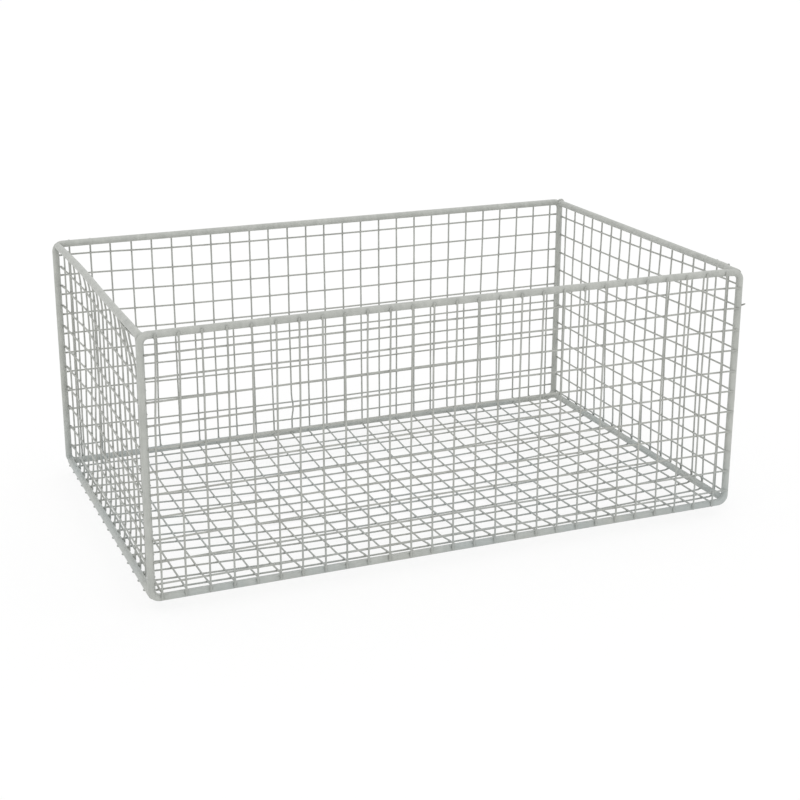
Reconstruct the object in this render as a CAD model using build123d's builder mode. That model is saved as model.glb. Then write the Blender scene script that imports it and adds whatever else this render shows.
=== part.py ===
from build123d import *
from math import atan, cos, sin, sqrt, tan
import os

# Wire locker basket, millimetres, +Z up.
# Two closed rod loops stand at the front and the rear. Four straight rods run between their corners.
# Panels of thin welded wire cover the front, rear, left, right and floor, and the top is open.
# The origin is on the ground, under the middle of the basket. The front is towards -Y.

# Frame, measured between the axes of the rods
frame_length = 550
frame_depth = 344.3
frame_height = 223.7
rod_diameter = 6.5
corner_bend = 7

# The four straight rods lie inside the corners of the loops' axes by these amounts
side_rod_in = 0.8
bottom_rod_rise = 2

# Mesh wires
wire_diameter = 1.7
column_pitch = 20.25
row_pitch = 19.5
level_count = 11
upright_foot = 1.8
upright_head = 0.5
end_gap = 0.3

# First wire of each pattern, from the axis of the rod beside it
front_column_inset = 7.7
rear_column_inset = 14
row_inset = 11
front_level_inset = 12
rear_level_inset = 13.6
side_level_inset = 5.5
floor_column_inset = 10.7
floor_row_inset = 13.1

# Highest level wire of the front and of the right side, below the axis of the top rod.
# The left side has the right side's mesh upside down, so these two margins change places there.
top_level_inset = 15.7
side_top_level_inset = 17.4

# The long floor wires pass under the side rods and turn up round them by this many degrees
hook_turn = 50

# The floor sags from use: straight slopes at its edges, level in the middle
floor_sag = 9
slope_share = 0.28
bend_share = 0.45

rod_radius = rod_diameter / 2
wire_radius = wire_diameter / 2
half_length = frame_length / 2
half_depth = frame_depth / 2

side_rod_x = half_length - side_rod_in

# A wire that touches a rod lies this far from its axis, and a wire of the second layer this far
upright_out = rod_radius + wire_radius
level_out = upright_out - wire_diameter

# The long floor wires hang under the side rods, and their level middle stands on the ground
axis_z = upright_out + floor_sag + wire_radius - bottom_rod_rise
top_z = axis_z + frame_height
low_side_z = axis_z + bottom_rod_rise
high_side_z = top_z - side_rod_in


def places(inset, pitch, span):
    """distances of a row of wires from the first rod's axis, clear of the second rod"""
    count = int((span - inset - upright_out) / pitch) + 1
    return [inset + i * pitch for i in range(count)]


def butt(side_step):
    """distance from a rod's axis to the end of a wire that meets it this far off centre"""
    edge = max(side_step - wire_radius, 0)
    return sqrt(max(rod_radius**2 - edge**2, 0)) + end_gap


def bend_shift(height):
    """how far a post of a loop leans in at this height, near the bends at its two ends"""
    into_bend = corner_bend - min(height - axis_z, top_z - height) + wire_radius
    return corner_bend - sqrt(corner_bend**2 - max(into_bend, 0) ** 2)


def post_step(x, z):
    """distance between the centre line of a loop's post or bend and this point beside it"""
    into_bend = max(corner_bend - min(z - axis_z, top_z - z), 0)
    return abs(sqrt((abs(x) - half_length + corner_bend) ** 2 + into_bend**2) - corner_bend)


front_columns = [x - half_length for x in places(front_column_inset, column_pitch, frame_length)]
rear_columns = [x - half_length for x in places(rear_column_inset, column_pitch, frame_length)]
rows = [half_depth - y for y in places(row_inset, row_pitch, frame_depth)]
floor_columns = [x - half_length for x in places(floor_column_inset, column_pitch, frame_length)]
floor_rows = [half_depth - y for y in places(floor_row_inset, row_pitch, frame_depth)]
level_pitch = (frame_height - front_level_inset - top_level_inset) / (level_count - 1)
side_level_pitch = (frame_height - side_level_inset - side_top_level_inset) / (level_count - 1)
front_levels = [axis_z + front_level_inset + i * level_pitch for i in range(level_count)]
rear_levels = [axis_z + rear_level_inset + i * level_pitch for i in range(level_count)]
left_levels = [axis_z + side_top_level_inset + i * side_level_pitch for i in range(level_count)]
right_levels = [axis_z + side_level_inset + i * side_level_pitch for i in range(level_count)]

os.makedirs("parts", exist_ok=True)


def save(piece, name):
    """label a finished piece and write its file"""
    piece.part.label = name
    export_step(piece.part, f"parts/{name}.step")


# Front and rear loops: one rod each, bent to a rounded rectangle and closed with a weld
for name, y in (("front_frame_loop", -half_depth), ("rear_frame_loop", half_depth)):
    with BuildPart() as frame_loop:
        with BuildLine(Plane.XZ.offset(-y)) as loop_path:
            FilletPolyline(
                (half_length, axis_z),
                (half_length, top_z),
                (-half_length, top_z),
                (-half_length, axis_z),
                radius=corner_bend,
                close=True,
            )
        start = loop_path.wire()
        with BuildSketch(Plane(origin=start @ 0, z_dir=start % 0)):
            Circle(rod_radius)
        sweep()
    save(frame_loop, name)

# Four straight rods, welded at their ends to the faces of the loops' corners
side_rod_length = frame_depth - 2 * (rod_radius + end_gap)
for name, x, z in (
    ("top_left_rod", -side_rod_x, high_side_z),
    ("top_right_rod", side_rod_x, high_side_z),
    ("bottom_left_rod", -side_rod_x, low_side_z),
    ("bottom_right_rod", side_rod_x, low_side_z),
):
    with BuildPart() as side_rod:
        with BuildSketch(Plane.XZ.offset(-side_rod_length / 2)):
            with Locations((x, z)):
                Circle(rod_radius)
        extrude(amount=side_rod_length)
    save(side_rod, name)


def upright_group(points, foot_z, head_z):
    """straight upright wires at these points"""
    with BuildPart() as uprights:
        with BuildSketch(Plane.XY.offset(foot_z)):
            with Locations(points):
                Circle(wire_radius)
        extrude(amount=head_z - foot_z)
    return uprights


# Upright wires of the four walls, cut off just past the rods that they are welded to.
# They lie outside the rods at the front, rear and right, and inside them at the left.
front_y = -half_depth - upright_out
rear_y = half_depth + upright_out
left_x = upright_out - side_rod_x
right_x = upright_out + side_rod_x
loop_reach = (axis_z - upright_foot, top_z + upright_head)
side_reach = (low_side_z - upright_foot, high_side_z + upright_head)
save(upright_group([(x, front_y) for x in front_columns], *loop_reach), "front_uprights")
save(upright_group([(x, rear_y) for x in rear_columns], *loop_reach), "rear_uprights")
save(upright_group([(left_x, y) for y in rows], *side_reach), "left_uprights")
save(upright_group([(right_x, y) for y in rows], *side_reach), "right_uprights")

# Level wires of the front and rear, between the posts of the loop
for wall, y, levels in (
    ("front", -half_depth - level_out, front_levels),
    ("rear", half_depth + level_out, rear_levels),
):
    for number, z in enumerate(levels, start=1):
        wire_end = half_length - butt(level_out) - bend_shift(z)
        with BuildPart() as level_wire:
            with BuildSketch(Plane.YZ.offset(-wire_end)):
                with Locations((y, z)):
                    Circle(wire_radius)
            extrude(amount=2 * wire_end)
        save(level_wire, f"{wall}_level_wire_{number:02d}")

# Level wires of the left and right, between the posts of the two loops
for wall, x, levels in (
    ("left", level_out - side_rod_x, left_levels),
    ("right", level_out + side_rod_x, right_levels),
):
    for number, z in enumerate(levels, start=1):
        wire_end = half_depth - butt(post_step(x, z))
        with BuildPart() as level_wire:
            with BuildSketch(Plane.XZ.offset(-wire_end)):
                with Locations((x, z)):
                    Circle(wire_radius)
            extrude(amount=2 * wire_end)
        save(level_wire, f"{wall}_level_wire_{number:02d}")


def sag_share(inset, slope):
    """share of the full sag at this distance from the end of a floor wire"""
    blend = bend_share * slope
    if inset <= slope - blend:
        return inset / slope
    if inset >= slope + blend:
        return 1
    return inset / slope - (inset - slope + blend) ** 2 / (4 * blend * slope)


def floor_wire(plane, half_span, end_z, slope, sag, hooked):
    """one floor wire: slope, gentle bend, level middle, gentle bend, slope, and hooks at its ends"""
    fall = atan(sag / slope)
    with BuildPart() as wire:
        with BuildLine(plane) as wire_path:
            FilletPolyline(
                (-half_span, end_z),
                (slope - half_span, end_z - sag),
                (half_span - slope, end_z - sag),
                (half_span, end_z),
                radius=bend_share * slope / tan(fall / 2),
            )
            if hooked:
                JernArc((half_span, end_z), (cos(fall), sin(fall)), upright_out, hook_turn)
                JernArc((-half_span, end_z), (-cos(fall), sin(fall)), upright_out, -hook_turn)
        start = wire_path.wire()
        with BuildSketch(Plane(origin=start @ 0, z_dir=start % 0)):
            Circle(wire_radius)
        sweep()
    return wire.part


# Floor wires: long wires run left to right and touch the side rods from below.
# Cross wires lie on them and run front to rear, up to the bottom rods of the loops.
cross_end_z = low_side_z - upright_out + wire_diameter
cross_half = half_depth - butt(abs(axis_z - cross_end_z))
cross_slope = 2 * cross_half * slope_share
long_slope = 2 * side_rod_x * slope_share
cross_wires = []
for x in floor_columns:
    sag = floor_sag * sag_share(side_rod_x - abs(x), long_slope)
    cross_wires.append(floor_wire(Plane.YZ.offset(x), cross_half, cross_end_z, cross_slope, sag, False))
long_wires = []
for y in floor_rows:
    sag = floor_sag * sag_share(cross_half - abs(y), cross_slope)
    fall = atan(sag / long_slope)
    long_half = side_rod_x + upright_out * sin(fall)
    end_z = low_side_z - upright_out * cos(fall)
    long_wires.append(floor_wire(Plane.XZ.offset(-y), long_half, end_z, long_slope, sag, True))
for name, wires in (("floor_cross_wires", cross_wires), ("floor_long_wires", long_wires)):
    with BuildPart() as floor_group:
        add(wires)
    save(floor_group, name)
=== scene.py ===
import math

import bmesh
import bpy
import numpy as np
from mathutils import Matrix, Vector


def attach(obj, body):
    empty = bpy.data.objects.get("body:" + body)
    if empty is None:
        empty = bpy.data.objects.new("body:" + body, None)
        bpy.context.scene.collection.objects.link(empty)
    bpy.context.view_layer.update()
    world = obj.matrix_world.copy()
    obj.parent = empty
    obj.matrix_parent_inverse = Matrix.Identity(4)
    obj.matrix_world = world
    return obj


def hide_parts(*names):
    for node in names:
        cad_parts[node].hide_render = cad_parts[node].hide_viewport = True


# Looks of the wire locker basket: dip-coated rods and wires, slightly bent by use.
# Lengths are in millimetres until a mesh is made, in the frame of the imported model.
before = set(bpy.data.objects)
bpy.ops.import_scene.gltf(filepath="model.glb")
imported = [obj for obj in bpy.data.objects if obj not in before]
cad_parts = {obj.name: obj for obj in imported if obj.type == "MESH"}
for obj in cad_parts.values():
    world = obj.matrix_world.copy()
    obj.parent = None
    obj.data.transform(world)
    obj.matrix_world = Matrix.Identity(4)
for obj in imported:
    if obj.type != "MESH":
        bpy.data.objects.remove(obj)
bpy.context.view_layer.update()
rng = np.random.default_rng(11)
MM = 0.001

# The solids' own sizes
HALF_LENGTH = 275.0
HALF_DEPTH = 172.15
HEIGHT = 223.7
ROD = 3.25
BEND = 7.0
WIRE = 0.85
COLUMN_PITCH, ROW_PITCH, LEVEL_PITCH, SIDE_LEVEL_PITCH = 20.25, 19.5, 19.6, 20.08
LEVELS = 11
FRONT_COLUMN, REAR_COLUMN, ROW = 7.7, 14.0, 11.0
FLOOR_COLUMN, FLOOR_ROW = 10.7, 13.1
FRONT_LEVEL, REAR_LEVEL, LEFT_LEVEL, RIGHT_LEVEL = 12.0, 13.6, 17.4, 5.5
FOOT, HEAD = 1.8, 0.5
SAG, SLOPE_SHARE, BEND_SHARE = 9.0, 0.28, 0.45
SIDE_IN, BOTTOM_RISE = 0.8, 2.0
SIDE_X = HALF_LENGTH - SIDE_IN
UPRIGHT_OUT = ROD + WIRE
LEVEL_OUT = UPRIGHT_OUT - 2 * WIRE
AXIS_Z = UPRIGHT_OUT + SAG + WIRE - BOTTOM_RISE
TOP_Z = AXIS_Z + HEIGHT
LOW_SIDE_Z, HIGH_SIDE_Z = AXIS_Z + BOTTOM_RISE, TOP_Z - SIDE_IN
LONG_DROP = UPRIGHT_OUT - BOTTOM_RISE
CROSS_DROP = LONG_DROP - 2 * WIRE
CROSS_HALF = HALF_DEPTH - 3.55

# The coating as seen: it is thin on the runs and thick where a wire meets a wire or a rod
COAT_ROUGH = 0.04
CROSSING_WEB = 0.3
CROSSING_SWELL = 0.05
ROD_WEB = 0.5
ROD_FLARE = 0.7
END_FLARE = 0.3
WIRE_SIDES = 10
ROD_SIDES = 28

# The frame as bent in the photograph: it is splayed near its ends, and one corner is low
SPLAY_FROM, SPLAY_BLEND = 200, 70
LEFT_SPLAY, LEFT_FOOT_SPLAY, RIGHT_SPLAY = 0.4, 1.3, 0.5
CORNER_DROP, CORNER_REACH, CORNER_FRONT = 1.1, 14, -150
FRONT_ROD_BOW = 3.4
LEFT_ROD_BOW, BOW_MIDDLE, BOW_REACH = 2.2, 70, 95
BOW_FROM, BOW_BLEND = 150, 70

# The left wall's mesh: how far it is in everywhere and at its deepest, and how far out near the front
DENT_EVEN, DENT_DEEPEST, DENT_MIDDLE, DENT_HEIGHT, DENT_REACH = 2.2, 4.2, 85, 140, 60
DENT_FOOT, DENT_HEAD, DENT_POST = 25, 24, 85
OUT_MOST, OUT_MIDDLE, OUT_REACH, OUT_FROM, OUT_BLEND = 4.5, -125, 38, 172, 45

# The floor's extra sag along its front edge
EDGE_SAG, EDGE_INSET, EDGE_REACH = 1.1, 34, 14

# Ends of rods and wires. The hooks turn further round the side rods than the solids' 50 degrees.
HOOK_TURN = math.radians(61)
ROD_END_IN, ROD_END_DROP, ROD_END_RISE, ROD_END_SQUEEZE = 0.9, 0.9, 0.3, 0.3
RIGHT_ROD_RISE = 0.6
HOOK_PRESS, HOOK_SWELL = 0.7, 0.4
CAP_DEPTHS, CAP_SHARES = (0, 0.15, 0.45, 0.9), (0.45, 0.75, 0.94, 1.0)

# How much painted crevice shade shows: at crossings, rods, wire ends, hook ends and rod seams
CROSSING_SHADE, ROD_SHADE, END_SHADE, HOOK_SHADE, SEAM_SHADE = 0.2, 0.25, 0.3, 0.45, 0.3

# Weld beads
BEAD_RADII = (3.6, 2.2, 3.5)
BEAD_SPREAD, BEAD_JITTER, BEAD_VOXEL = 2.3, 0.6, 0.45


# Materials
def ramp_node(nodes, stops):
    """a colour ramp with these (position, colour) stops"""
    ramp = nodes.new("ShaderNodeValToRGB")
    while len(ramp.color_ramp.elements) < len(stops):
        ramp.color_ramp.elements.new(0.5)
    for element, (position, colour) in zip(ramp.color_ramp.elements, stops):
        element.position = position
        element.color = (*colour, 1)
    return ramp


def noise_node(nodes, links, where, scale, detail, rough):
    """a noise texture read at this vector output"""
    noise = nodes.new("ShaderNodeTexNoise")
    noise.inputs["Scale"].default_value = scale
    noise.inputs["Detail"].default_value = detail
    noise.inputs["Roughness"].default_value = rough
    links.new(where, noise.inputs["Vector"])
    return noise


def mix_node(nodes, links, factor, first, second, blend="MIX"):
    """a colour mix; factor, first and second are outputs or constants"""
    mix = nodes.new("ShaderNodeMix")
    mix.data_type = "RGBA"
    mix.blend_type = blend
    for socket, value in (("Factor_Float", factor), ("A_Color", first), ("B_Color", second)):
        target = next(s for s in mix.inputs if s.identifier == socket)
        if isinstance(value, bpy.types.NodeSocket):
            links.new(value, target)
        else:
            target.default_value = value
    return next(s for s in mix.outputs if s.identifier == "Result_Color")


def coating(name, pale, dark, cool, crevice_shade, lumps, grain):
    """dip coating: mottled, streaked downwards, cooler near the ground, with painted shade in the crevices
    """
    material = bpy.data.materials.new(name)
    material.use_nodes = True
    nodes = material.node_tree.nodes
    links = material.node_tree.links
    surface = nodes["Principled BSDF"]
    place = nodes.new("ShaderNodeTexCoord").outputs["Object"]

    mottle = noise_node(nodes, links, place, 70, 6, 0.62)
    tone = ramp_node(nodes, [(0.32, dark), (0.68, pale)])
    links.new(mottle.outputs["Fac"], tone.inputs["Fac"])

    stretch = nodes.new("ShaderNodeMapping")
    stretch.inputs["Scale"].default_value = (1, 1, 0.16)
    links.new(place, stretch.inputs["Vector"])
    streak = noise_node(nodes, links, stretch.outputs["Vector"], 260, 3, 0.5)
    streak_tone = ramp_node(nodes, [(0.3, (0.86, 0.87, 0.86)), (0.7, (1, 1, 1))])
    links.new(streak.outputs["Fac"], streak_tone.inputs["Fac"])
    colour = mix_node(
        nodes, links, 1.0, tone.outputs["Color"], streak_tone.outputs["Color"], "MULTIPLY"
    )

    height = nodes.new("ShaderNodeSeparateXYZ")
    links.new(place, height.inputs["Vector"])
    low = nodes.new("ShaderNodeMapRange")
    low.inputs["From Min"].default_value = 0.075
    low.inputs["From Max"].default_value = 0.0
    low.inputs["To Max"].default_value = 0.75
    links.new(height.outputs["Z"], low.inputs["Value"])
    patches = noise_node(nodes, links, place, 11, 2, 0.5)
    patch_range = nodes.new("ShaderNodeMapRange")
    patch_range.inputs["From Min"].default_value = 0.35
    patch_range.inputs["From Max"].default_value = 0.6
    links.new(patches.outputs["Fac"], patch_range.inputs["Value"])
    cool_share = nodes.new("ShaderNodeMath")
    cool_share.operation = "MULTIPLY"
    links.new(low.outputs["Result"], cool_share.inputs[0])
    links.new(patch_range.outputs["Result"], cool_share.inputs[1])
    colour = mix_node(nodes, links, cool_share.outputs["Value"], colour, (*cool, 1))

    # painted shade: a per-point share mixes in the dark crevice colour where wires and rods meet
    crevice_shade_attribute = nodes.new("ShaderNodeAttribute")
    crevice_shade_attribute.attribute_name = "crevice_shade"
    colour = mix_node(nodes, links, crevice_shade_attribute.outputs["Fac"], colour, (*crevice_shade, 1))
    links.new(colour, surface.inputs["Base Color"])

    dull = nodes.new("ShaderNodeMapRange")
    dull.inputs["To Min"].default_value = 0.36
    dull.inputs["To Max"].default_value = 0.6
    links.new(mottle.outputs["Fac"], dull.inputs["Value"])
    links.new(dull.outputs["Result"], surface.inputs["Roughness"])

    peel = noise_node(nodes, links, place, grain, 3, 0.55)
    fine = nodes.new("ShaderNodeBump")
    fine.inputs["Strength"].default_value = 0.35
    fine.inputs["Distance"].default_value = 0.00025
    links.new(peel.outputs["Fac"], fine.inputs["Height"])
    broad = nodes.new("ShaderNodeBump")
    broad.inputs["Strength"].default_value = lumps
    broad.inputs["Distance"].default_value = 0.0006
    links.new(mottle.outputs["Fac"], broad.inputs["Height"])
    links.new(fine.outputs["Normal"], broad.inputs["Normal"])
    links.new(broad.outputs["Normal"], surface.inputs["Normal"])
    surface.inputs["Coat Weight"].default_value = 0.18
    surface.inputs["Coat Roughness"].default_value = 0.3
    return material


# The fourth colour of each coating is its dark painted crevice shade
ROD_COAT = coating("rod_coating", (0.5, 0.51, 0.48), (0.42, 0.43, 0.405), (0.39, 0.43, 0.43),
                   (0.22, 0.23, 0.22), 0.35, 620)
WIRE_COAT = coating("wire_coating_grey", (0.46, 0.47, 0.44), (0.37, 0.375, 0.35), (0.36, 0.39, 0.385),
                    (0.22, 0.225, 0.21), 0.3, 900)
WELD_COAT = coating("weld_coating", (0.46, 0.47, 0.445), (0.36, 0.37, 0.35), (0.34, 0.375, 0.37),
                    (0.2, 0.21, 0.2), 0.6, 480)


# Mesh making
def ring_faces(rings, sides, closed, first=0):
    """quads between neighbouring rings, with flat end caps unless the tube is closed"""
    faces = []
    for i in range(rings if closed else rings - 1):
        here = first + i * sides
        there = first + (i + 1) % rings * sides
        for k in range(sides):
            turn = (k + 1) % sides
            faces.append((here + k, here + turn, there + turn, there + k))
    if not closed:
        last = first + (rings - 1) * sides
        faces.append(tuple(first + k for k in reversed(range(sides))))
        faces.append(tuple(last + k for k in range(sides)))
    return faces


def settled(points):
    """points of the straight frame moved as the photograph shows it: splayed, and one corner low"""
    x, y, z = points.T
    up = np.clip((z - AXIS_Z) / HEIGHT, 0, 1)
    left = np.clip((-x - SPLAY_FROM) / SPLAY_BLEND, 0, 1)
    right = np.clip((x - SPLAY_FROM) / SPLAY_BLEND, 0, 1) * np.clip(-y / HALF_DEPTH, 0, 1)
    corner = bell(np.hypot(x - HALF_LENGTH, z - TOP_Z), CORNER_REACH) * (y < CORNER_FRONT)
    moved = points.copy()
    moved[:, 0] += RIGHT_SPLAY * right - (LEFT_SPLAY + LEFT_FOOT_SPLAY * (1 - up)) * left
    moved[:, 2] -= CORNER_DROP * corner
    return moved


def add_piece(name, points, faces, material, nodes=(), crevice_shade=None):
    """a smooth mesh piece that rides on the basket and stands for these CAD nodes"""
    mesh = bpy.data.meshes.new(name)
    mesh.from_pydata((settled(np.asarray(points)) * MM).tolist(), [], faces)
    mesh.shade_smooth()
    mesh.materials.append(material)
    # painted shade: each point's share of the dark crevice colour
    crevice_shade_attribute = mesh.attributes.new("crevice_shade", "FLOAT", "POINT")
    values = np.zeros(len(points)) if crevice_shade is None else np.clip(crevice_shade, 0, 1)
    crevice_shade_attribute.data.foreach_set("value", values.astype(np.float32))
    piece = bpy.data.objects.new(name, mesh)
    bpy.context.scene.collection.objects.link(piece)
    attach(piece, "root")
    if nodes:
        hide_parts(*nodes)


def ripple(distance, turn, waves, shortest, longest):
    """smooth unevenness of a coat, from -1 to 1, along a tube and round it"""
    total = np.zeros(np.broadcast(distance, turn).shape)
    for k in range(waves):
        length = shortest * (longest / shortest) ** (k / max(waves - 1, 1))
        lobes = int(rng.integers(0, 4))
        shift, twist = rng.uniform(0, 2 * math.pi, 2)
        total += np.sin(2 * math.pi * distance / length + shift) * np.cos(lobes * turn + twist)
    return total / waves


def bell(offset, width):
    """a smooth bump of height 1"""
    return np.exp(-((offset / width) ** 2))


# Rods
def loop_stations():
    """centre line of a frame loop in its own plane: distance along, x, z, outward x, outward z"""
    corners = [(1, -1), (1, 1), (-1, 1), (-1, -1)]
    step = 1.6
    rows_out = []
    distance = 0.0
    for n, (sx, sz) in enumerate(corners):
        centre = np.array([sx * (HALF_LENGTH - BEND), AXIS_Z + HEIGHT / 2 + sz * (HEIGHT / 2 - BEND)])
        start = -math.pi / 2 + n * math.pi / 2
        for k in range(17):
            angle = start + k / 16 * math.pi / 2
            out = np.array([math.cos(angle), math.sin(angle)])
            rows_out.append((distance + k / 16 * BEND * math.pi / 2, *(centre + BEND * out), *out))
        distance += BEND * math.pi / 2
        run = 2 * ((HEIGHT / 2 if n % 2 == 0 else HALF_LENGTH) - BEND)
        out = np.array([math.cos(start + math.pi / 2), math.sin(start + math.pi / 2)])
        along = np.array([-out[1], out[0]])
        count = int(run / step)
        for k in range(1, count):
            travel = k / count * run
            rows_out.append((distance + travel, *(centre + BEND * out + along * travel), *out))
        distance += run
    return np.array(rows_out)


def coat_rod(distance, turn, droplets):
    """surface offset of a rod's coat from its nominal radius: inwards, but for the droplets"""
    coat = COAT_ROUGH * (ripple(distance, turn, 7, 5, 70) - 1)
    for where, side, size in droplets:
        round_it = np.angle(np.exp(1j * (turn - side)))
        coat += size * bell(distance - where, 2.4) * bell(round_it, 0.5)
    return coat


def rod_piece(name, centres, across, beside, distance, closed, seams, node, squeeze=None):
    """a rod as a tube; across and beside are unit vectors square to it, seams the wires it meets"""
    turn = np.linspace(0, 2 * math.pi, ROD_SIDES, endpoint=False)[None, :]
    s = distance[:, None]
    droplets = [(rng.uniform(0, distance[-1]), rng.uniform(0, 2 * math.pi), rng.uniform(0.05, 0.16))
                for _ in range(int(distance[-1] / 22))]
    radius = ROD + coat_rod(s, turn, droplets)
    if squeeze is not None:
        radius = radius - (ROD - squeeze[:, None])
    around = (np.cos(turn)[:, :, None] * across[:, None, :]
              + np.sin(turn)[:, :, None] * beside[:, None, :])
    points = (centres[:, None, :] + radius[:, :, None] * around).reshape(-1, 3)
    # painted shade on the rod beside each wire that meets it, and beside the floor wires' hooks
    crevice_shade = np.zeros(len(points))
    for seam_point, axis, reach in seams:
        offset = points - seam_point
        along = offset @ axis
        away = np.linalg.norm(offset - along[:, None] * axis, axis=1)
        shade = SEAM_SHADE * bell(np.maximum(away - WIRE * 0.9, 0), 0.9) * (abs(along) < reach)
        crevice_shade = np.maximum(crevice_shade, shade)
    faces = ring_faces(len(centres), ROD_SIDES, closed)
    add_piece(name, points, faces, ROD_COAT, [node], crevice_shade)


# Walls and floor
class Panel:
    """a wall or the floor: a plane with a direction for the outer layer and two families of wires"""

    def __init__(self, origin, across, along, outward, columns, rows_at, hollow, pulls):
        self.origin, self.across = np.array(origin), np.array(across)
        self.along, self.outward = np.array(along), np.array(outward)
        self.columns, self.rows_at = columns, rows_at
        self.hollow, self.pulls = hollow, pulls
        self.column_sway, self.row_sway = [], []

    def at(self, u, v, w):
        """points at u across, v along and w towards the outer layer, with the hollow and the pulls"""
        w = w + self.hollow(u, v)
        pulled_u, pulled_v = u, v
        for (place_u, place_v), (width_u, width_v), (pull_u, pull_v) in self.pulls:
            share = bell(u - place_u, width_u) * bell(v - AXIS_Z - place_v, width_v)
            inside = np.clip((HALF_LENGTH - abs(u)) / 8, 0, 1)
            pulled_u, pulled_v = pulled_u + pull_u * share * inside, pulled_v + pull_v * share
        return (self.origin + pulled_u[..., None] * self.across + pulled_v[..., None] * self.along
                + w[..., None] * self.outward)


def sway_of(span, size, bend=(0, 1, 0)):
    """sideways wander of one wire: slow waves, a lean and one bend (height above the rod, width, amount)"""
    waves = [(size * rng.normal() * share, turns, rng.uniform(0, 2 * math.pi))
             for share, turns in ((0.5, 0.5), (0.35, 1), (0.2, 2.2), (0.1, 5))]
    lean = rng.normal() * size * 0.5

    def sway(t):
        """the wander at this distance along the wire"""
        total = lean + sum(a * np.sin(2 * math.pi * n * t / span + p) for a, n, p in waves)
        height, width, amount = bend
        return total + amount * bell(t - AXIS_Z - height, width)

    return sway


def places(inset, pitch, span):
    """distances of a row of wires from the first rod's axis, clear of the second rod"""
    count = int((span - inset - UPRIGHT_OUT) / pitch) + 1
    return [inset + i * pitch for i in range(count)]


def sag_share(inset, slope):
    """share of the full sag at this distance from the end of a floor wire"""
    blend = BEND_SHARE * slope
    inset = np.clip(inset, 0, slope + blend)
    dip = np.maximum(inset - slope + blend, 0)
    return inset / slope - dip**2 / (4 * blend * slope)


def floor_sag(u, v):
    """how far the floor hangs down here, a little more along the front edge"""
    along_x = sag_share(SIDE_X - abs(u), 2 * SIDE_X * SLOPE_SHARE)
    along_y = sag_share(CROSS_HALF - abs(v), 2 * CROSS_HALF * SLOPE_SHARE)
    return (SAG * along_y + EDGE_SAG * bell(v + CROSS_HALF - EDGE_INSET, EDGE_REACH)) * along_x


def left_rod_bow(y):
    """how far the top left rod is bent inwards"""
    return LEFT_ROD_BOW * bell(y - BOW_MIDDLE, BOW_REACH)


def eased(share):
    """a share from 0 to 1 with a soft start and a soft end"""
    return share * share * (3 - 2 * share)


def left_dent(u, v):
    """the left wall pushed in, most towards the rear, and its mesh out near the front of the top rod"""
    height = v - AXIS_Z
    above_foot = np.clip((height - BOTTOM_RISE) / DENT_FOOT, 0, 1)
    below_head = np.clip((HEIGHT - 1 - height) / DENT_HEAD, 0, 1)
    held = eased(above_foot * below_head) * np.clip((HALF_DEPTH - abs(u)) / DENT_POST, 0, 1)
    deepest = bell(u - DENT_MIDDLE, DENT_REACH) * bell(height - DENT_HEIGHT, DENT_REACH)
    outwards = bell(u - OUT_MIDDLE, OUT_REACH) * eased(np.clip((height - OUT_FROM) / OUT_BLEND, 0, 1))
    with_rod = left_rod_bow(u) * np.clip((height - BOW_FROM) / BOW_BLEND, 0, 1)
    return held * (DENT_EVEN + DENT_DEEPEST * deepest) - OUT_MOST * outwards + with_rod


def wall_hollow(half_span, depth, top_depth):
    """a wall pushed in by use: its mesh by depth at half height, and its top rod by top_depth"""
    def hollow(u, v):
        """how far out the wall is here, below zero where it is pushed in"""
        across = np.clip(1 - (u / half_span) ** 2, 0, 1)
        up = np.clip((v - AXIS_Z) / HEIGHT, 0, 1)
        return -across * (top_depth * up + depth * np.sin(math.pi * up) ** 1.2)
    return hollow


front_columns = [x - HALF_LENGTH for x in places(FRONT_COLUMN, COLUMN_PITCH, 2 * HALF_LENGTH)]
rear_columns = [x - HALF_LENGTH for x in places(REAR_COLUMN, COLUMN_PITCH, 2 * HALF_LENGTH)]
side_rows = [HALF_DEPTH - y for y in places(ROW, ROW_PITCH, 2 * HALF_DEPTH)]
floor_columns = [x - HALF_LENGTH for x in places(FLOOR_COLUMN, COLUMN_PITCH, 2 * HALF_LENGTH)]
floor_rows = [HALF_DEPTH - y for y in places(FLOOR_ROW, ROW_PITCH, 2 * HALF_DEPTH)]


def level_heights(first, pitch):
    """heights of a wall's level wires, the first one this far above the lower rod's axis"""
    return [AXIS_Z + first + i * pitch for i in range(LEVELS)]


# How the mesh of each wall is pulled out of square in the photograph:
# where (across, height above the lower rod's axis), how far that reaches, and the pull itself
FRONT_PULLS = [((-5, 0), (120, 200), (-3.6, 0)), ((0, 90), (160, 120), (0, 2.0)),
               ((150, 40), (60, 160), (-1.6, 0.2)), ((-262, 215), (16, 55), (3.4, 0)),
               ((-190, 215), (70, 90), (1.6, 0)),
               ((235, 200), (60, 90), (0, 1.4)), ((-230, 110), (90, 300), (0, 0.7))]
REAR_PULLS = [((-255, 200), (70, 110), (0, 2.4)), ((-255, 40), (70, 90), (0, 1.3)),
              ((20, 30), (150, 110), (0, -1.5)), ((20, 190), (120, 80), (0, -0.5)),
              ((195, 110), (60, 70), (-2.2, 0)), ((-58, 0), (30, 70), (0.9, 0))]
LEFT_PULLS = [((172, 160), (75, 80), (0, 5.0))]
RIGHT_PULLS = [((-170, 190), (130, 150), (0, 3.6)), ((160, 110), (180, 300), (0, 1.2)),
               ((-170, 20), (130, 60), (0, 1.2)), ((-70, 110), (110, 130), (0, 1.8)),
               ((-40, 4), (150, 10), (0, 1.5))]
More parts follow.
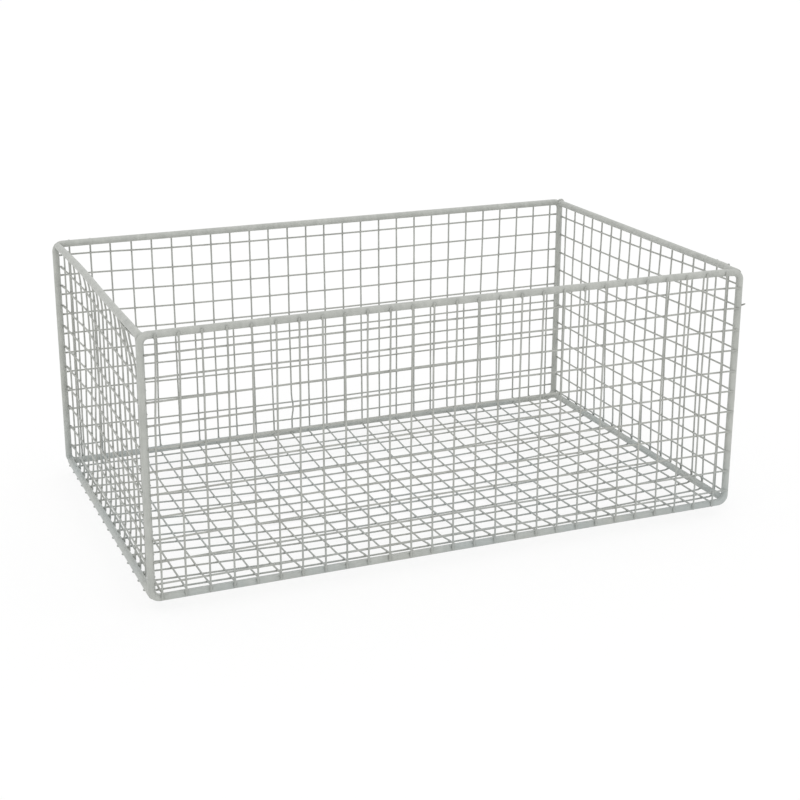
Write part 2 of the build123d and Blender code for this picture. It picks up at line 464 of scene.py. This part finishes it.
PANELS = {
    "front": Panel((0, -HALF_DEPTH, 0), (1, 0, 0), (0, 0, 1), (0, -1, 0), front_columns,
                   level_heights(FRONT_LEVEL, LEVEL_PITCH),
                   wall_hollow(HALF_LENGTH, 0.6, FRONT_ROD_BOW), FRONT_PULLS),
    "rear": Panel((0, HALF_DEPTH, 0), (1, 0, 0), (0, 0, 1), (0, 1, 0), rear_columns,
                  level_heights(REAR_LEVEL, LEVEL_PITCH), wall_hollow(HALF_LENGTH, 0.5, 0.0), REAR_PULLS),
    "left": Panel((-SIDE_X, 0, 0), (0, 1, 0), (0, 0, 1), (1, 0, 0), side_rows,
                  level_heights(LEFT_LEVEL, SIDE_LEVEL_PITCH), left_dent, LEFT_PULLS),
    "right": Panel((SIDE_X, 0, 0), (0, 1, 0), (0, 0, 1), (1, 0, 0), side_rows,
                   level_heights(RIGHT_LEVEL, SIDE_LEVEL_PITCH),
                   wall_hollow(HALF_DEPTH, 2.5, 0.0), RIGHT_PULLS),
    "floor": Panel((0, 0, AXIS_Z), (1, 0, 0), (0, 1, 0), (0, 0, -1), floor_columns, floor_rows,
                   floor_sag, []),
}

# How far the wires of each panel wander sideways, and the sharper bends seen in the photograph
SWAY = {"front": (0.4, 0.3), "rear": (0.3, 0.25), "left": (0.7, 0.5), "right": (0.8, 0.4),
        "floor": (0.5, 0.5)}
COLUMN_BENDS = {("rear", 11): (27, 8, 1.9), ("rear", 3): (45, 60, 2.2), ("rear", 4): (30, 45, -1.6),
                ("right", 8): (20, 40, -1.5), ("right", 3): (60, 25, 1.5)}
for name, panel in PANELS.items():
    tall, wide = (2 * HALF_DEPTH, 2 * HALF_LENGTH) if name == "floor" else (HEIGHT, 2 * HALF_LENGTH)
    for i in range(len(panel.columns)):
        panel.column_sway.append(sway_of(tall, SWAY[name][0], COLUMN_BENDS.get((name, i), (0, 1, 0))))
    for j in range(len(panel.rows_at)):
        panel.row_sway.append(sway_of(wide, SWAY[name][1]))


def stations(start, end, crossings, rods):
    """places along a wire where its tube has a ring: close together at crossings and rods"""
    spots = [start + x for x in CAP_DEPTHS] + [end - x for x in CAP_DEPTHS]
    for c in crossings:
        spots += [c + x for x in (-2.6, -1.4, -0.6, 0, 0.6, 1.4, 2.6)]
    for r in rods:
        spots += [r + x for x in (-4.2, -3.2, -2.4, -1.6, -0.8, 0, 0.8, 1.6, 2.4, 3.2, 4.2)]
    spots = sorted(x for x in spots if start <= x <= end)
    kept = [spots[0]]
    for x in spots[1:]:
        if x - kept[-1] < 0.14:
            continue
        gap = x - kept[-1]
        extra = int(gap / 7.5)
        kept += [kept[-1] + gap * (k + 1) / (extra + 1) for k in range(extra)]
        kept.append(x)
    return np.array(kept)


def wire_tube(panel, family, index, offset, start, end, rods, end_flares, partner, hooked=False):
    """points, ring count and painted crevice shade of one wire; partner is +1 if the outer layer is the
    other one
    """
    column = family == "column"
    mine = (panel.columns if column else panel.rows_at)[index]
    sway = (panel.column_sway if column else panel.row_sway)[index]
    others = panel.rows_at if column else panel.columns
    other_sway = panel.row_sway if column else panel.column_sway
    crossings = np.array([o + s(mine) for o, s in zip(others, other_sway)])
    t = stations(start, end, crossings, rods)
    side = mine + sway(t)
    u, v = (side, t) if column else (t, side)
    lift = np.full(len(t), float(offset))
    for place, reach, amount in end_flares.get("lifts", ()):
        lift = lift + amount * np.clip(1 - abs(t - place) / reach, 0, 1) ** 2
    centres = panel.at(u, v, lift)
    outward = np.tile(panel.outward.astype(float), (len(t), 1))
    if hooked:
        past = np.clip((abs(t) - SIDE_X) / UPRIGHT_OUT, 0, HOOK_TURN)[:, None]
        outward = np.hstack([np.sign(t)[:, None] * np.sin(past), 0 * past, -np.cos(past)])
        rod_axis = np.column_stack([np.sign(t) * SIDE_X, centres[:, 1], np.full(len(t), LOW_SIDE_Z)])
        from_axis = UPRIGHT_OUT - HOOK_PRESS * np.clip(past / 0.6, 0, 1)
        centres = np.where(past > 0, rod_axis + from_axis * outward, centres)
    across = panel.across if column else panel.along

    turn = np.linspace(0, 2 * math.pi, WIRE_SIDES, endpoint=False)[None, :]
    facing = np.maximum(np.cos(turn) * partner, 0)
    from_crossing = np.min(abs(t[:, None] - crossings[None, :]), axis=1)[:, None]
    s = t[:, None]
    radius = WIRE - COAT_ROUGH + COAT_ROUGH * ripple(s, turn, 5, 4, 45)
    radius = radius + CROSSING_SWELL * bell(from_crossing, 1.7)
    radius = radius + CROSSING_WEB * bell(from_crossing, 1.25) * facing**2
    beside = np.zeros_like(radius)
    # painted shade at each crossing, on the side facing the other wire
    crevice_shade = CROSSING_SHADE * bell(from_crossing, 1.1) * facing
    inward = np.maximum(-np.cos(turn), 0)
    for r in rods:
        away = abs(s - r)
        web = (ROD_WEB + away**2 / (2 * ROD)) * np.clip((3.8 - away) / 1.2, 0, 1)
        radius = radius + web * inward**2
        beside = beside + ROD_FLARE * inward * np.sin(turn) * np.clip((4.4 - away) / 1.8, 0, 1)
        # painted shade on the wire's inner side near a rod
        crevice_shade = np.maximum(crevice_shade, ROD_SHADE * inward * np.clip((5 - away) / 2, 0, 1))
    for tip, surface in end_flares.get("tips", ()):
        near = np.maximum((surface - s) * np.sign(tip - surface), 0)
        radius = radius + END_FLARE * bell(near, 0.8) * (abs(s - tip) < 9)
        # painted shade where the wire ends at a post or rod
        crevice_shade = np.maximum(crevice_shade, END_SHADE * bell(near, 0.9) * (abs(s - tip) < 9))
    rounding = np.minimum(t - t[0], t[-1] - t)
    if hooked:
        # painted shade at the hooked wire's cut end
        crevice_shade = np.maximum(crevice_shade, HOOK_SHADE * bell(rounding, 0.35)[:, None])
        radius = radius + HOOK_SWELL * np.clip((4.5 - rounding) / 2, 0, 1)[:, None]
    cap = np.interp(rounding, CAP_DEPTHS, CAP_SHARES)[:, None]
    radius = radius * cap
    points = (centres[:, None, :] + (radius * np.cos(turn))[:, :, None] * outward[:, None, :]
              + (radius * np.sin(turn) + beside)[:, :, None] * across)
    return points.reshape(-1, 3), len(t), np.broadcast_to(crevice_shade, radius.shape).reshape(-1)


def wire_piece(name, tubes, node):
    """one piece from the tubes of a CAD node"""
    # the painted crevice shade of each tube goes into the piece
    points, faces, crevice_shades, first = [], [], [], 0
    for tube_points, rings, crevice_shade in tubes:
        points.append(tube_points)
        crevice_shades.append(crevice_shade)
        faces += ring_faces(rings, WIRE_SIDES, False, first)
        first += len(tube_points)
    add_piece(name, np.concatenate(points), faces, WIRE_COAT, [node],
              np.concatenate(crevice_shades))


# Uprights: over the outer faces of the top and bottom rods, but over the inner faces at the left
for wall in ("front", "rear", "left", "right"):
    panel = PANELS[wall]
    low_rod, high_rod = (AXIS_Z, TOP_Z) if wall in ("front", "rear") else (LOW_SIDE_Z, HIGH_SIDE_Z)
    head = {"left": -2.0, "right": -1.6}.get(wall, HEAD)
    tubes = [wire_tube(panel, "column", i, UPRIGHT_OUT, low_rod - FOOT, high_rod + head,
                       [low_rod, high_rod], {}, -1) for i in range(len(panel.columns))]
    wire_piece(f"{wall}_uprights_coated", tubes, f"{wall}_uprights")

# Level wires: between the posts, one layer nearer the rods
POST_REACH = 2.0
FACE_LIFT = 1.5
for wall in ("front", "rear", "left", "right"):
    panel = PANELS[wall]
    post = HALF_LENGTH if wall in ("front", "rear") else HALF_DEPTH
    beside_post = {"left": LEVEL_OUT + SIDE_IN, "right": LEVEL_OUT - SIDE_IN}.get(wall, LEVEL_OUT)
    post_surface = math.sqrt(max(ROD**2 - beside_post**2, 0)) + 0.2
    for j in range(LEVELS):
        node = f"{wall}_level_wire_{j + 1:02d}"
        start, end = -post + POST_REACH, post - POST_REACH
        flares = {"tips": [(start, -post + post_surface), (end, post - post_surface)]}
        if wall == "front":
            end = post + rng.uniform(-0.6, 1.0)
            flares = {"tips": flares["tips"][:1], "lifts": [(end, 8.0, FACE_LIFT)]}
        tube = wire_tube(panel, "row", j, LEVEL_OUT, start, end, [], flares, 1)
        wire_piece(f"{node}_coated", [tube], node)

# Floor wires: the long ones hook round the side rods from below, and the cross ones lie on the long ones
panel = PANELS["floor"]
hook_end = SIDE_X + UPRIGHT_OUT * HOOK_TURN
tubes = [wire_tube(panel, "row", i, LONG_DROP, -hook_end, hook_end, [], {}, -1, True)
         for i in range(len(panel.rows_at))]
wire_piece("floor_long_wires_coated", tubes, "floor_long_wires")
cross_end = CROSS_HALF + 1.2
tips = {"tips": [(-cross_end, -CROSS_HALF), (cross_end, CROSS_HALF)]}
tubes = [wire_tube(panel, "column", i, CROSS_DROP, -cross_end, cross_end, [], tips, 1)
         for i in range(len(panel.columns))]
wire_piece("floor_cross_wires_coated", tubes, "floor_cross_wires")

# Frame loops, with painted shade in the crevices beside each upright that is welded to them
loop = loop_stations()
for name, y, outward in (("front", -HALF_DEPTH, -1.0), ("rear", HALF_DEPTH, 1.0)):
    panel = PANELS[name]
    bowed_y = y + outward * panel.hollow(loop[:, 1], loop[:, 2])
    centres = np.column_stack([loop[:, 1], bowed_y, loop[:, 2]])
    across = np.column_stack([loop[:, 3], np.zeros(len(loop)), loop[:, 4]])
    beside = np.tile(np.array([0.0, outward, 0.0]), (len(loop), 1))
    seams = []
    for i, x in enumerate(panel.columns):
        for z in (AXIS_Z, TOP_Z):
            at = panel.at(np.array(x + panel.column_sway[i](z)), np.array(float(z)), np.array(ROD))
            seams.append((at, np.array([0.0, 0.0, 1.0]), 3.2))
    rod_piece(f"{name}_frame_loop_coated", centres, across, beside, loop[:, 0], True, seams,
              f"{name}_frame_loop")

# Straight side rods: each runs between the corners of the loops and is welded to their faces
half_rod = HALF_DEPTH - 1.2
for level, z in (("top", HIGH_SIDE_Z), ("bottom", LOW_SIDE_Z)):
    for side, sign in (("left", -1.0), ("right", 1.0)):
        panel = PANELS[side]
        y = np.linspace(-half_rod, half_rod, 229)
        centres = np.column_stack([np.full(len(y), sign * SIDE_X), y, np.full(len(y), z)])
        across = np.tile(np.array([0.0, 0.0, 1.0]), (len(y), 1))
        beside = np.tile(np.array([sign, 0.0, 0.0]), (len(y), 1))
        ending = np.clip((abs(y) - HALF_DEPTH + ROD + 2.0) / 4.2, 0, 1) ** 2
        if (level, side) == ("top", "right"):
            ending = np.where(y < 0, 0.25, 1) * ending
        centres[:, 0] -= sign * ROD_END_IN * ending
        centres[:, 2] += (-ROD_END_DROP if level == "top" else ROD_END_RISE) * ending
        if (level, side) == ("top", "left"):
            centres[:, 0] += left_rod_bow(y)
        if (level, side) == ("bottom", "right"):
            centres[:, 2] += RIGHT_ROD_RISE * (1 - ending)
        squeeze = ROD * (1 - ROD_END_SQUEEZE * ending)
        seams = []
        for i, row in enumerate(panel.columns):
            at = panel.at(np.array(row + panel.column_sway[i](z)), np.array(float(z)), np.array(ROD))
            seams.append((at, np.array([0.0, 0.0, 1.0]), 3.2))
        if level == "bottom":
            bent = HOOK_TURN * 0.85
            mark = np.array([sign * (SIDE_X + ROD * math.sin(bent)), 0, z - ROD * math.cos(bent)])
            along = np.array([sign * math.cos(bent), 0, math.sin(bent)])
            seams += [(mark + (0, row, 0), along, 2.6) for row in PANELS["floor"].rows_at]
        rod_piece(f"{level}_{side}_rod_coated", centres, across, beside, y + half_rod, False, seams,
                  f"{level}_{side}_rod", squeeze)


# Weld beads where the side rods end on the faces of the loops' bent corners
def blob(mesh, centre, axes, radii):
    """an ellipsoid added to a bmesh, in millimetres"""
    made = bmesh.ops.create_icosphere(mesh, subdivisions=3, radius=1.0)
    for vertex in made["verts"]:
        local = np.array(vertex.co) * radii
        vertex.co = Vector(centre + local @ axes)


def weld_bead(name, sx, sy, top, proud):
    """a lumpy bead between a side rod's end and the face of a bent corner, standing out by proud"""
    sz = 1.0 if top else -1.0
    base_z = TOP_Z if top else AXIS_Z
    middle = BEND / math.sqrt(2) - BEND + 0.6
    contact = np.array([sx * (HALF_LENGTH + middle), sy * (HALF_DEPTH - ROD + 0.6), base_z + sz * middle])
    along = np.array([sx, 0, -sz]) / math.sqrt(2)
    outward = np.array([sx, 0, sz]) / math.sqrt(2)
    contact = contact + proud * outward
    axes = np.array([along, [0, 1, 0], outward])
    mesh = bmesh.new()
    blob(mesh, contact, axes, np.array(BEAD_RADII))
    for swing in (-1, 1):
        for _ in range(3):
            jitter = rng.uniform(-BEAD_JITTER, BEAD_JITTER, 3)
            sideways = (jitter[1] - 0.5 * sy) * np.array([0, 1, 0])
            place = contact + swing * (BEAD_SPREAD + jitter[0]) * along + sideways
            blob(mesh, place + jitter[2] * outward, axes, rng.uniform(1.2, 1.7, 3))
    rough = bpy.data.meshes.new(name)
    mesh.to_mesh(rough)
    mesh.free()
    shape = bpy.data.objects.new(name + "_rough", rough)
    bpy.context.scene.collection.objects.link(shape)
    remesh = shape.modifiers.new("join", "REMESH")
    remesh.mode = "VOXEL"
    remesh.voxel_size = BEAD_VOXEL
    smooth = shape.modifiers.new("soften", "SMOOTH")
    smooth.factor = 0.6
    smooth.iterations = 6
    done = shape.evaluated_get(bpy.context.evaluated_depsgraph_get()).to_mesh()
    points = np.array([v.co for v in done.vertices])
    faces = [tuple(f.vertices) for f in done.polygons]
    shape.to_mesh_clear()
    bpy.data.objects.remove(shape)
    points += 0.08 * rng.normal(size=(1, 3))
    add_piece(name, points, faces, WELD_COAT)


for side, sx in (("left", -1), ("right", 1)):
    for end, sy in (("front", -1), ("rear", 1)):
        for level, top in (("top", True), ("bottom", False)):
            proud = 2.6 if (end, side, level) == ("rear", "right", "top") else 0.0
            weld_bead(f"{end}_{side}_{level}_corner_weld", sx, sy, top, proud)


# The end of a level wire that has sprung out past the front right post: heights above the lower rod
LOOSE_PATH = [(277.6, -166.0, 190.1), (278.4, -170.5, 190.9), (279.0, -174.2, 192.4),
              (279.4, -177.0, 193.8)]


def loose_end():
    """a short wire end with a swollen, rounded tip"""
    path = np.array(LOOSE_PATH)
    path[:, 2] += AXIS_Z
    t = np.linspace(0, 1, 15)
    fractions = np.linspace(0, 1, len(path))
    centres = np.column_stack([np.interp(t, fractions, path[:, k]) for k in range(3)])
    turn = np.linspace(0, 2 * math.pi, WIRE_SIDES, endpoint=False)
    radius = (WIRE - COAT_ROUGH) * np.interp(t, (0, 0.86, 0.93, 0.97, 1), (1, 1, 1.12, 1.05, 0.55))
    ring = np.outer(np.cos(turn), (1, 0, 0)) + np.outer(np.sin(turn), (0, 0, 1))
    points = (centres[:, None, :] + radius[:, None, None] * ring[None]).reshape(-1, 3)
    add_piece("right_level_wire_loose_end", points, ring_faces(len(t), WIRE_SIDES, False), WIRE_COAT)


loose_end()


# Stage
def white_to_camera(nodes, links, lit, plain, share):
    """camera and reflections see this share of the plain white, and all other rays the lit shader"""
    rays = nodes.new("ShaderNodeLightPath")
    seen = nodes.new("ShaderNodeMath")
    seen.operation = "MAXIMUM"
    links.new(rays.outputs["Is Camera Ray"], seen.inputs[0])
    links.new(rays.outputs["Is Glossy Ray"], seen.inputs[1])
    also = nodes.new("ShaderNodeMath")
    also.operation = "MAXIMUM"
    links.new(seen.outputs["Value"], also.inputs[0])
    links.new(rays.outputs["Is Transmission Ray"], also.inputs[1])
    part = nodes.new("ShaderNodeMath")
    part.operation = "MULTIPLY"
    part.inputs[1].default_value = share
    links.new(also.outputs["Value"], part.inputs[0])
    mix = nodes.new("ShaderNodeMixShader")
    links.new(part.outputs["Value"], mix.inputs["Fac"])
    links.new(lit, mix.inputs[1])
    links.new(plain, mix.inputs[2])
    return mix.outputs["Shader"]


PAPER_WHITE = 0.8
FLOOR_RADIUS = 14
floor_mesh = bpy.data.meshes.new("studio_floor")
ground = bmesh.new()
bmesh.ops.create_circle(ground, cap_ends=True, segments=96, radius=FLOOR_RADIUS)
ground.to_mesh(floor_mesh)
ground.free()
studio_floor = bpy.data.objects.new("studio_floor", floor_mesh)
bpy.context.scene.collection.objects.link(studio_floor)
paper = bpy.data.materials.new("white_paper")
paper.use_nodes = True
paper_surface = paper.node_tree.nodes["Principled BSDF"]
paper_surface.inputs["Base Color"].default_value = (0.97, 0.97, 0.965, 1)
paper_surface.inputs["Roughness"].default_value = 0.9
paper_surface.inputs["Specular IOR Level"].default_value = 0.1
floor_mesh.materials.append(paper)
paper_nodes, paper_links = paper.node_tree.nodes, paper.node_tree.links
glow = paper_nodes.new("ShaderNodeEmission")
glow.inputs["Color"].default_value = (1, 1, 1, 1)
glow.inputs["Strength"].default_value = 1.0
whitened = white_to_camera(
    paper_nodes, paper_links, paper_surface.outputs["BSDF"], glow.outputs["Emission"], PAPER_WHITE
)
paper_links.new(whitened, paper_nodes["Material Output"].inputs["Surface"])

world = bpy.data.worlds.new("studio")
world.use_nodes = True
bpy.context.scene.world = world
world_nodes, world_links = world.node_tree.nodes, world.node_tree.links
soft = world_nodes["Background"]
soft.inputs["Color"].default_value = (1, 1, 1, 1)
soft.inputs["Strength"].default_value = 0.84
plain = world_nodes.new("ShaderNodeBackground")
plain.inputs["Color"].default_value = (1, 1, 1, 1)
plain.inputs["Strength"].default_value = 1.0
seen = white_to_camera(
    world_nodes, world_links, soft.outputs["Background"], plain.outputs["Background"], 1.0
)
world_links.new(seen, world_nodes["World Output"].inputs["Surface"])


def sun(name, azimuth, elevation, strength, angle):
    """soft directional light from this side; azimuth 0 is the front and 90 the right"""
    data = bpy.data.lights.new(name, "SUN")
    data.energy = strength
    data.angle = math.radians(angle)
    lamp = bpy.data.objects.new(name, data)
    bpy.context.scene.collection.objects.link(lamp)
    a, e = math.radians(azimuth), math.radians(elevation)
    source = Vector((math.sin(a) * math.cos(e), -math.cos(a) * math.cos(e), math.sin(e)))
    lamp.rotation_euler = source.to_track_quat("Z", "Y").to_euler()


sun("key", -75, 60, 0.36, 60)
sun("fill", 95, 55, 0.4, 80)
sun("front", -10, 12, 0.3, 90)

# Camera at the photograph's place
CAMERA_AT = (-0.5321, -1.3215, 0.5716)
CAMERA_AZIMUTH, CAMERA_ELEVATION = 22.49, 18.52
CAMERA_LENS, SENSOR_WIDTH = 70.14, 36
HALF_PIXEL = 0.5 / 800
camera_data = bpy.data.cameras.new("camera")
camera_data.sensor_width = SENSOR_WIDTH
camera_data.lens = CAMERA_LENS
camera_data.shift_x = -HALF_PIXEL
camera_data.shift_y = HALF_PIXEL
camera = bpy.data.objects.new("camera", camera_data)
bpy.context.scene.collection.objects.link(camera)
a, e = math.radians(CAMERA_AZIMUTH), math.radians(CAMERA_ELEVATION)
gaze = Vector((math.sin(a) * math.cos(e), math.cos(a) * math.cos(e), -math.sin(e)))
camera.location = CAMERA_AT
camera.rotation_euler = gaze.to_track_quat("-Z", "Y").to_euler()
bpy.context.scene.camera = camera
bpy.context.scene.view_settings.view_transform = "Standard"
